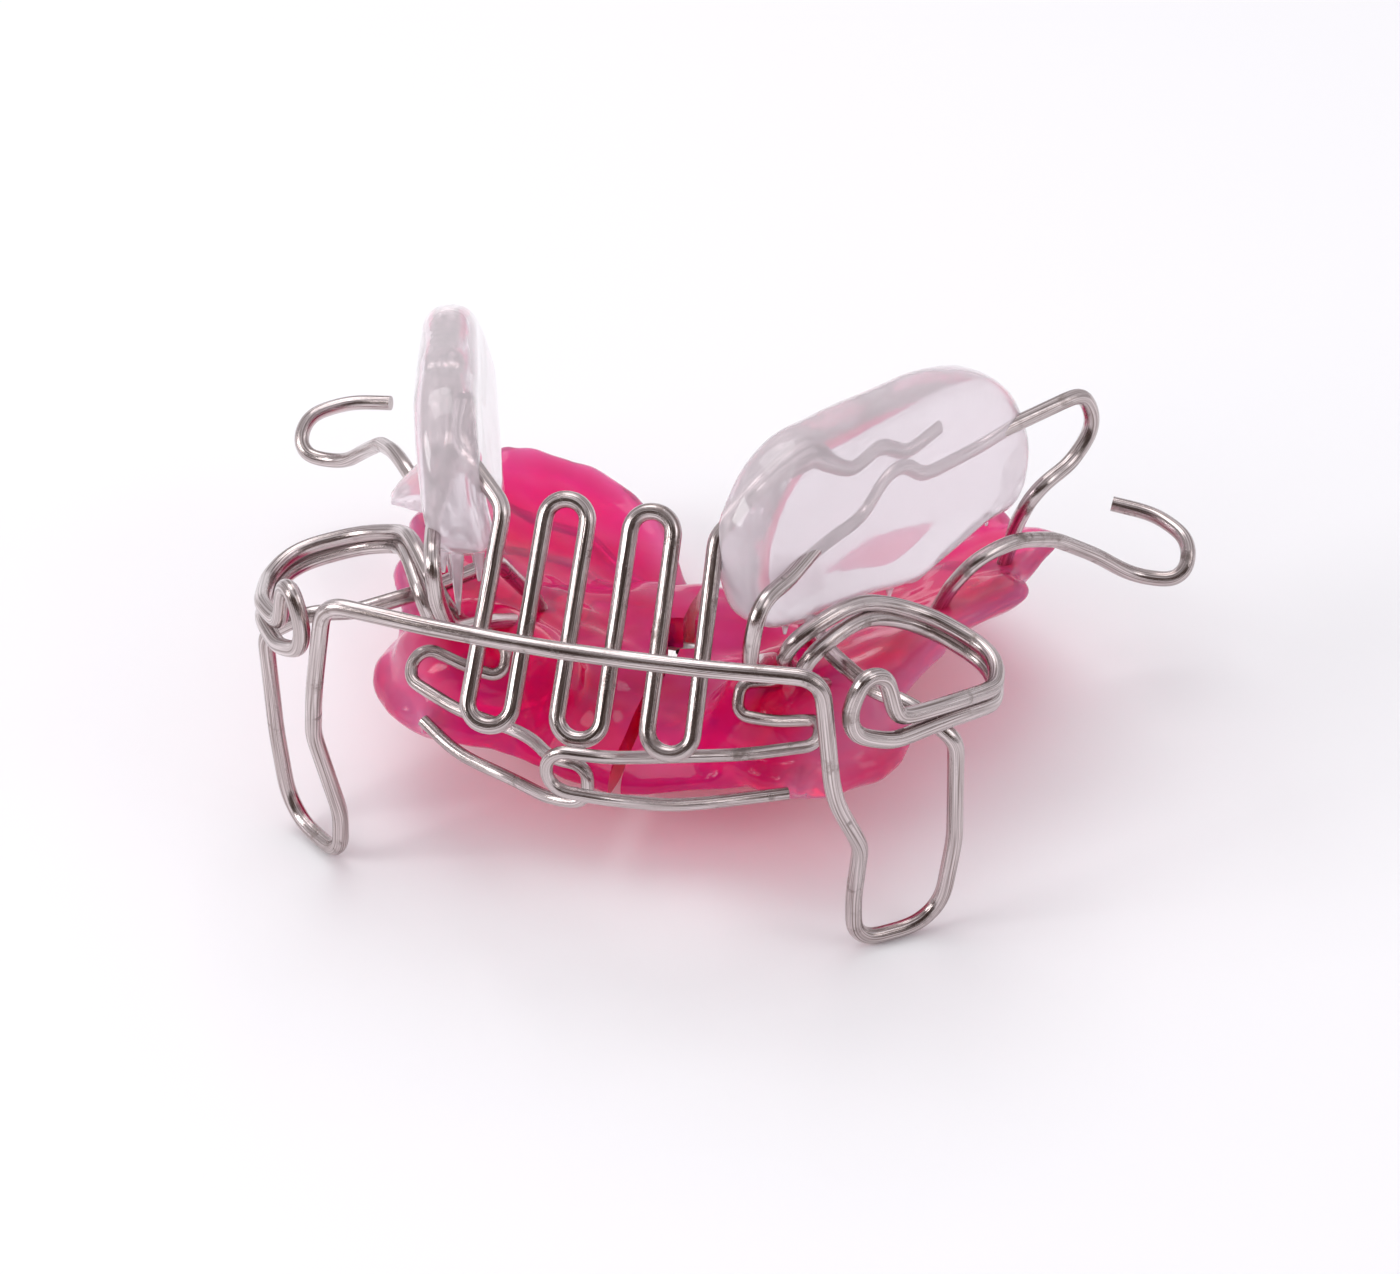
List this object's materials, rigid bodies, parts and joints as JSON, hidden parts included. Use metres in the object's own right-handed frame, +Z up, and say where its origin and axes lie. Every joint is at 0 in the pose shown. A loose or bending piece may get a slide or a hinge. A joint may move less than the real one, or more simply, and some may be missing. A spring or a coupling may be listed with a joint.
{
  "type": "functional orthodontic appliance",
  "caption": "Removable orthodontic appliance: split palatal plate on an expansion screw, with labial bow, tongue crib, springs, clasps and side wings.",
  "frame": {"origin": "centre of the appliance's footprint, on the surface it stands on with its loops and the heel of its plate", "axes": "+X towards the right side, +Y from the labial bow back to the clasps, +Z up from the plate to the wings"},
  "size_m": [0.0558, 0.0416, 0.027],
  "materials": {
    "plate_acrylic": "polished transparent magenta acrylic",
    "wing_acrylic": "polished clear acrylic, slightly milky",
    "wire_steel": "bright drawn spring-hard steel",
    "screw_steel": "turned and milled stainless steel"
  },
  "bodies": {
    "left_half": {"plate_left": "plate_acrylic", "screw_body_left": "screw_steel", "labial_bow": "wire_steel", "tongue_crib": "wire_steel", "connecting_wire_left": "wire_steel", "buccal_loop_left": "wire_steel", "protrusion_spring_left": "wire_steel", "molar_clasp_left": "wire_steel", "wing_left": "wing_acrylic"},
    "right_half": {"plate_right": "plate_acrylic", "screw_body_right": "screw_steel", "connecting_wire_right": "wire_steel", "buccal_loop_right": "wire_steel", "protrusion_spring_right": "wire_steel", "molar_clasp_right": "wire_steel", "wing_right": "wing_acrylic"},
    "screw_core": {"guide_pin_front": "screw_steel", "guide_pin_rear": "screw_steel"},
    "spindle": {"screw_spindle": "screw_steel"}
  },
  "joints": [
    {"name": "expansion", "type": "slide", "parent": "left_half", "child": "right_half", "axis": [1, 0, 0], "range_m": [0, 0.005], "deforming": ["labial_bow", "tongue_crib"]},
    {"name": "core_travel", "type": "slide", "parent": "left_half", "child": "screw_core", "axis": [1, 0, 0], "range_m": [0, 0.0025]},
    {"name": "spindle_turn", "type": "hinge", "parent": "screw_core", "child": "spindle", "pos_m": [0, 0.0038, 0.00295], "axis": [1, 0, 0], "range_deg": [0, 2251]}
  ],
  "couplings": [
    {"joint": "core_travel", "follows": "expansion", "ratio": 0.5},
    {"joint": "spindle_turn", "follows": "expansion", "rad_per_m": 7854}
  ]
}
